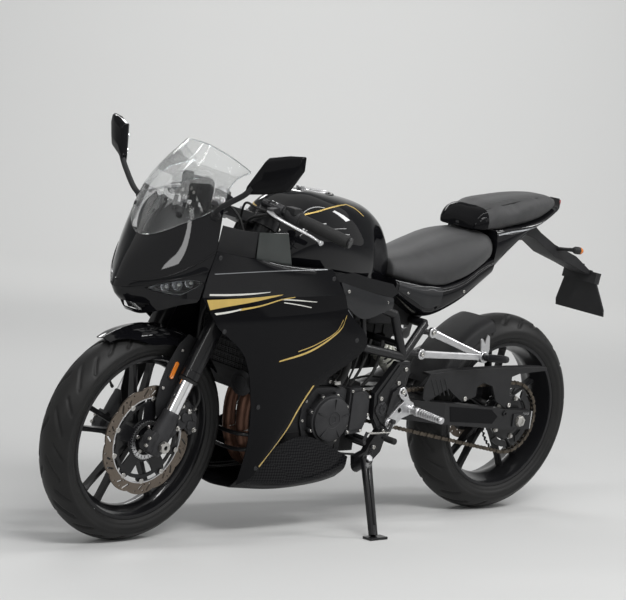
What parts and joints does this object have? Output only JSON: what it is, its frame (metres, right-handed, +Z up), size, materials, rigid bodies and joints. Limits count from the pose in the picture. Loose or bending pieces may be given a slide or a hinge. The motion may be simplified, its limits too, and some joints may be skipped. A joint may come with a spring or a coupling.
{
  "type": "sport bike",
  "caption": "Faired sport motorcycle leaning on its side stand, with turning wheels, steering, folding stand and hinged fuel cap.",
  "frame": {"origin": "on the floor, under the middle of the whole bike's bounding box as it leans on its side stand", "axes": "+X forwards along the wheelbase, +Y to the rider's left, +Z up; the bike leans 5 degrees to the left"},
  "size_m": [2.0016, 0.836, 1.1362],
  "materials": {
    "tyre": "matt black tread rubber",
    "rim_paint": "gloss black wheel paint",
    "disc_steel": "heat-toned brake disc steel",
    "sprocket_steel": "black coated steel",
    "fork_black": "black anodised tube",
    "fork_chrome": "bright slider over a black axle clamp",
    "steel": "plain bright steel",
    "dark_alloy": "dark satin alloy",
    "black_gloss": "deep gloss black bodywork",
    "black_matt": "fine grained matt black plastic",
    "grip_rubber": "soft black rubber",
    "lens": "clear faceted lens",
    "screen": "clear curved acrylic",
    "lamp_red": "red lamp lens",
    "satin_grey": "satin grey paint",
    "frame_paint": "satin black frame paint",
    "cast_alloy": "dark cast alloy",
    "header_steel": "heat-browned steel tube",
    "silencer_metal": "dark satin steel",
    "chain_steel": "oiled steel links",
    "alloy": "bare satin alloy",
    "tank_paint": "deep gloss black paint with thin gold lines",
    "seat_cover": "matt black grained seat cover"
  },
  "bodies": {
    "chassis": {"main_frame": "frame_paint", "pivot_plates": "cast_alloy", "engine_block": "cast_alloy", "cylinder_head": "cast_alloy", "engine_covers": "cast_alloy", "radiator": "dark_alloy", "exhaust_pipes": "header_steel", "silencer": "silencer_metal", "swingarm": "frame_paint", "rear_axle": "steel", "shock_absorber": "steel", "drive_chain": "chain_steel", "chain_guard": "black_matt", "rear_hugger": "black_matt", "rear_caliper": "dark_alloy", "rider_footrests": "alloy", "passenger_footrests": "alloy", "fuel_tank": "tank_paint", "rider_seat": "seat_cover", "passenger_seat": "seat_cover", "tail_cowl": "black_gloss", "tail_light": "lamp_red", "plate_hanger": "black_matt", "nose_cowl": "black_gloss", "headlights": "lens", "windscreen": "screen", "side_fairings": "black_gloss", "belly_pan": "black_gloss", "side_covers": "satin_grey", "instrument_panel": "black_matt", "mirrors": "black_gloss"},
    "steering": {"fork_tubes": "fork_black", "fork_legs": "fork_chrome", "front_axle": "steel", "yokes": "dark_alloy", "front_fender": "black_gloss", "front_caliper": "dark_alloy", "clip_on_bars": "alloy", "grips": "grip_rubber"},
    "front_wheel": {"front_tyre": "tyre", "front_rim": "rim_paint", "front_disc": "disc_steel"},
    "rear_wheel": {"rear_tyre": "tyre", "rear_rim": "rim_paint", "rear_sprocket": "sprocket_steel", "rear_disc": "disc_steel"},
    "side_stand": {"side_stand": "frame_paint"},
    "fuel_cap": {"fuel_cap": "alloy"}
  },
  "joints": [
    {"name": "steering", "type": "hinge", "parent": "chassis", "child": "steering", "pos_m": [0.44687, -0.02785, 0.76358], "axis": [-0.4221, 0.079, 0.9031], "range_deg": [-34, 22]},
    {"name": "front_wheel_spin", "type": "hinge", "parent": "steering", "child": "front_wheel", "pos_m": [0.70883, -0.06519, 0.29134], "axis": [-0.0948, 0.9869, -0.1306], "continuous": true},
    {"name": "rear_wheel_spin", "type": "hinge", "parent": "chassis", "child": "rear_wheel", "pos_m": [-0.64097, -0.06798, 0.30546], "axis": [0, 0.9962, -0.0872], "continuous": true},
    {"name": "side_stand_fold", "type": "hinge", "parent": "chassis", "child": "side_stand", "pos_m": [-0.00103, 0.09007, 0.20696], "axis": [0.0653, 0.8581, 0.5094], "range_deg": [0, 82]},
    {"name": "fuel_cap_open", "type": "hinge", "parent": "chassis", "child": "fuel_cap", "pos_m": [0.22839, -0.0098, 0.96994], "axis": [0, 0.9962, -0.0872], "range_deg": [0, 85]}
  ]
}
